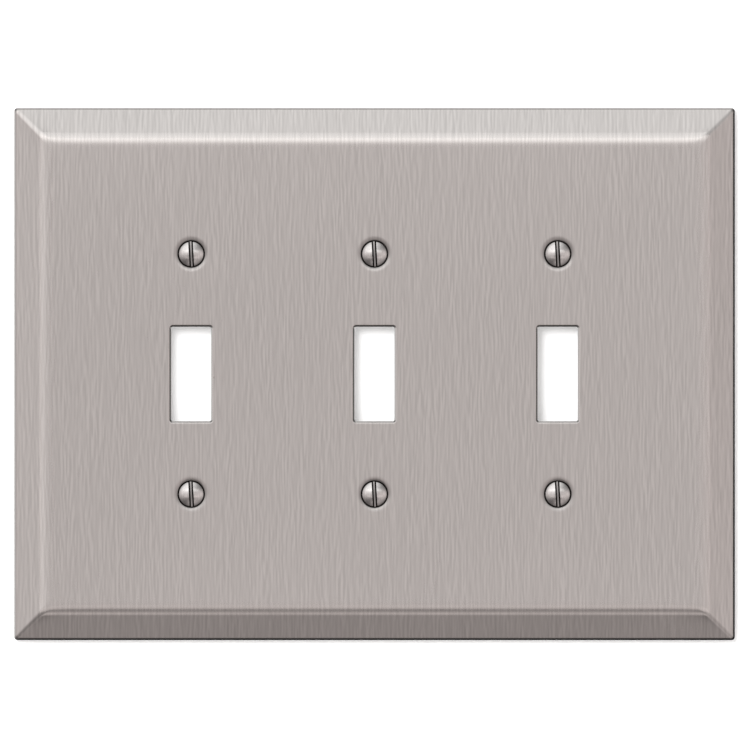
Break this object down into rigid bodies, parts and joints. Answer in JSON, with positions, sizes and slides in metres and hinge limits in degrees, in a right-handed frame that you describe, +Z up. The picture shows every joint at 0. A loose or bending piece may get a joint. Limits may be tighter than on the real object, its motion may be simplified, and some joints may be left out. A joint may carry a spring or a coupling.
{
  "type": "toggle switch wall plate",
  "caption": "Brushed-nickel steel cover plate with a bevelled border, toggle-switch openings side by side and slotted oval-head screws.",
  "frame": {"origin": "middle of the plate in the wall plane, where the rim of the plate meets the wall", "axes": "+X right along the width as one looks at the plate, +Y back into the wall, +Z up; the face looks along -Y"},
  "size_m": [0.1812, 0.017, 0.1338],
  "materials": {
    "plate_nickel": "brushed nickel plate, fine upright grain, satin",
    "screw_nickel": "bright nickel plate, lightly scratched"
  },
  "bodies": {
    "plate": {"wall_plate": "plate_nickel"},
    "cover_screw_top_left": {"cover_screw_top_left": "screw_nickel"},
    "cover_screw_top_middle": {"cover_screw_top_middle": "screw_nickel"},
    "cover_screw_top_right": {"cover_screw_top_right": "screw_nickel"},
    "cover_screw_bottom_left": {"cover_screw_bottom_left": "screw_nickel"},
    "cover_screw_bottom_middle": {"cover_screw_bottom_middle": "screw_nickel"},
    "cover_screw_bottom_right": {"cover_screw_bottom_right": "screw_nickel"}
  },
  "joints": [
    {"name": "turn_cover_screw_top_left", "type": "hinge", "parent": "plate", "child": "cover_screw_top_left", "pos_m": [-0.04604, -0.0053, 0.03017], "axis": [0, 1, 0], "continuous": true},
    {"name": "turn_cover_screw_top_middle", "type": "hinge", "parent": "plate", "child": "cover_screw_top_middle", "pos_m": [0, -0.0053, 0.03017], "axis": [0, 1, 0], "continuous": true},
    {"name": "turn_cover_screw_top_right", "type": "hinge", "parent": "plate", "child": "cover_screw_top_right", "pos_m": [0.04604, -0.0053, 0.03017], "axis": [0, 1, 0], "continuous": true},
    {"name": "turn_cover_screw_bottom_left", "type": "hinge", "parent": "plate", "child": "cover_screw_bottom_left", "pos_m": [-0.04604, -0.0053, -0.03017], "axis": [0, 1, 0], "continuous": true},
    {"name": "turn_cover_screw_bottom_middle", "type": "hinge", "parent": "plate", "child": "cover_screw_bottom_middle", "pos_m": [0, -0.0053, -0.03017], "axis": [0, 1, 0], "continuous": true},
    {"name": "turn_cover_screw_bottom_right", "type": "hinge", "parent": "plate", "child": "cover_screw_bottom_right", "pos_m": [0.04604, -0.0053, -0.03017], "axis": [0, 1, 0], "continuous": true}
  ]
}
